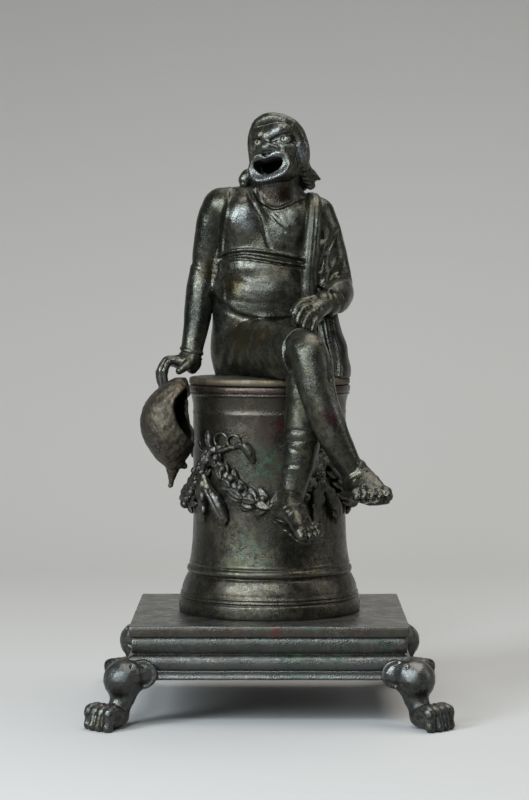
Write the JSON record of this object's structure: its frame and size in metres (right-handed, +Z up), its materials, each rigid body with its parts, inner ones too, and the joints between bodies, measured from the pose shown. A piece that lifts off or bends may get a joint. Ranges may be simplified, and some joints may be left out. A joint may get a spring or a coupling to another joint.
{
  "type": "figural incense burner",
  "caption": "Bronze incense burner: a masked comic actor sits cross-legged on the lid of a garlanded round altar, on a moulded plinth with lion's paw feet.",
  "frame": {"origin": "on the table under the middle of the altar", "axes": "+Z up, the figure faces -Y, +X is on the right of someone who looks at the figure's face"},
  "size_m": [0.1366, 0.131, 0.2334],
  "materials": {
    "plinth_bronze": "dark worn patina with green and reddish patches",
    "altar_bronze": "dark worn patina with green patches",
    "relief_bronze": "dark patina, worn bright on the raised fruit and ribbon",
    "pan_bronze": "matt, heat-stained bronze",
    "lid_bronze": "golden-brown worn edge with a grey-green top",
    "figure_bronze": "near-black patina, half glossy, worn on the raised folds",
    "pouch_bronze": "granular brown patina with green spots",
    "eye_silver": "tarnished silver inlay"
  },
  "bodies": {
    "altar_base": {"plinth": "plinth_bronze", "paw_back_right": "plinth_bronze", "paw_back_left": "plinth_bronze", "paw_front_left": "plinth_bronze", "paw_front_right": "plinth_bronze", "altar_drum": "altar_bronze", "garland_front": "relief_bronze", "garland_right": "relief_bronze", "garland_back": "relief_bronze", "garland_left": "relief_bronze", "bow_front_right": "relief_bronze", "bow_back_right": "relief_bronze", "bow_back_left": "relief_bronze", "bow_front_left": "relief_bronze"},
    "fire_pan": {"fire_pan": "pan_bronze"},
    "figure_lid": {"lid": "lid_bronze", "tunic_body": "figure_bronze", "tunic_lap": "figure_bronze", "mask": "figure_bronze", "eye_inlay_right": "eye_silver", "eye_inlay_left": "eye_silver", "right_arm": "figure_bronze", "right_hand": "figure_bronze", "left_arm": "figure_bronze", "left_hand": "figure_bronze", "right_leg": "figure_bronze", "left_leg": "figure_bronze", "right_foot": "figure_bronze", "left_foot": "figure_bronze", "mantle_shoulder": "figure_bronze", "mantle_fall": "figure_bronze", "held_pouch": "pouch_bronze"}
  },
  "joints": [
    {"name": "pan_lift", "type": "slide", "parent": "altar_base", "child": "fire_pan", "axis": [0, 0, 1], "range_m": [0, 0.007]},
    {"name": "lid_lift", "type": "slide", "parent": "altar_base", "child": "figure_lid", "axis": [0, 0, 1], "range_m": [0, 0.065]}
  ]
}
